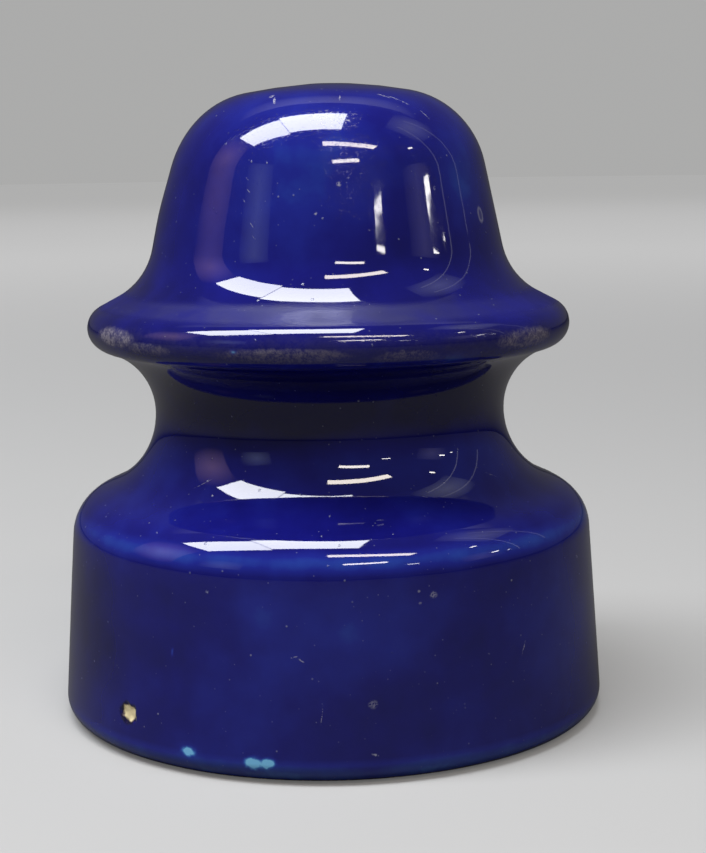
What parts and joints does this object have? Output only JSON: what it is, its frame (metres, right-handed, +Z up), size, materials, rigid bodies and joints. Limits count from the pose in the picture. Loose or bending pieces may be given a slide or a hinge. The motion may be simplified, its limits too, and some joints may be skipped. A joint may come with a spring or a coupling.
{
  "type": "pin insulator",
  "caption": "Glazed porcelain pin insulator: tall domed crown, brim over a wire groove, wide skirt, and a threaded pin hole underneath.",
  "frame": {"origin": "centre of the skirt's resting rim, on the surface it stands on", "axes": "+Z up along the axis of revolution, from the rim to the crown"},
  "size_m": [0.0888, 0.0888, 0.1016],
  "materials": {
    "blue_glazed_porcelain": "gloss"
  },
  "bodies": {
    "root": {"porcelain_body": "blue_glazed_porcelain"}
  },
  "joints": []
}
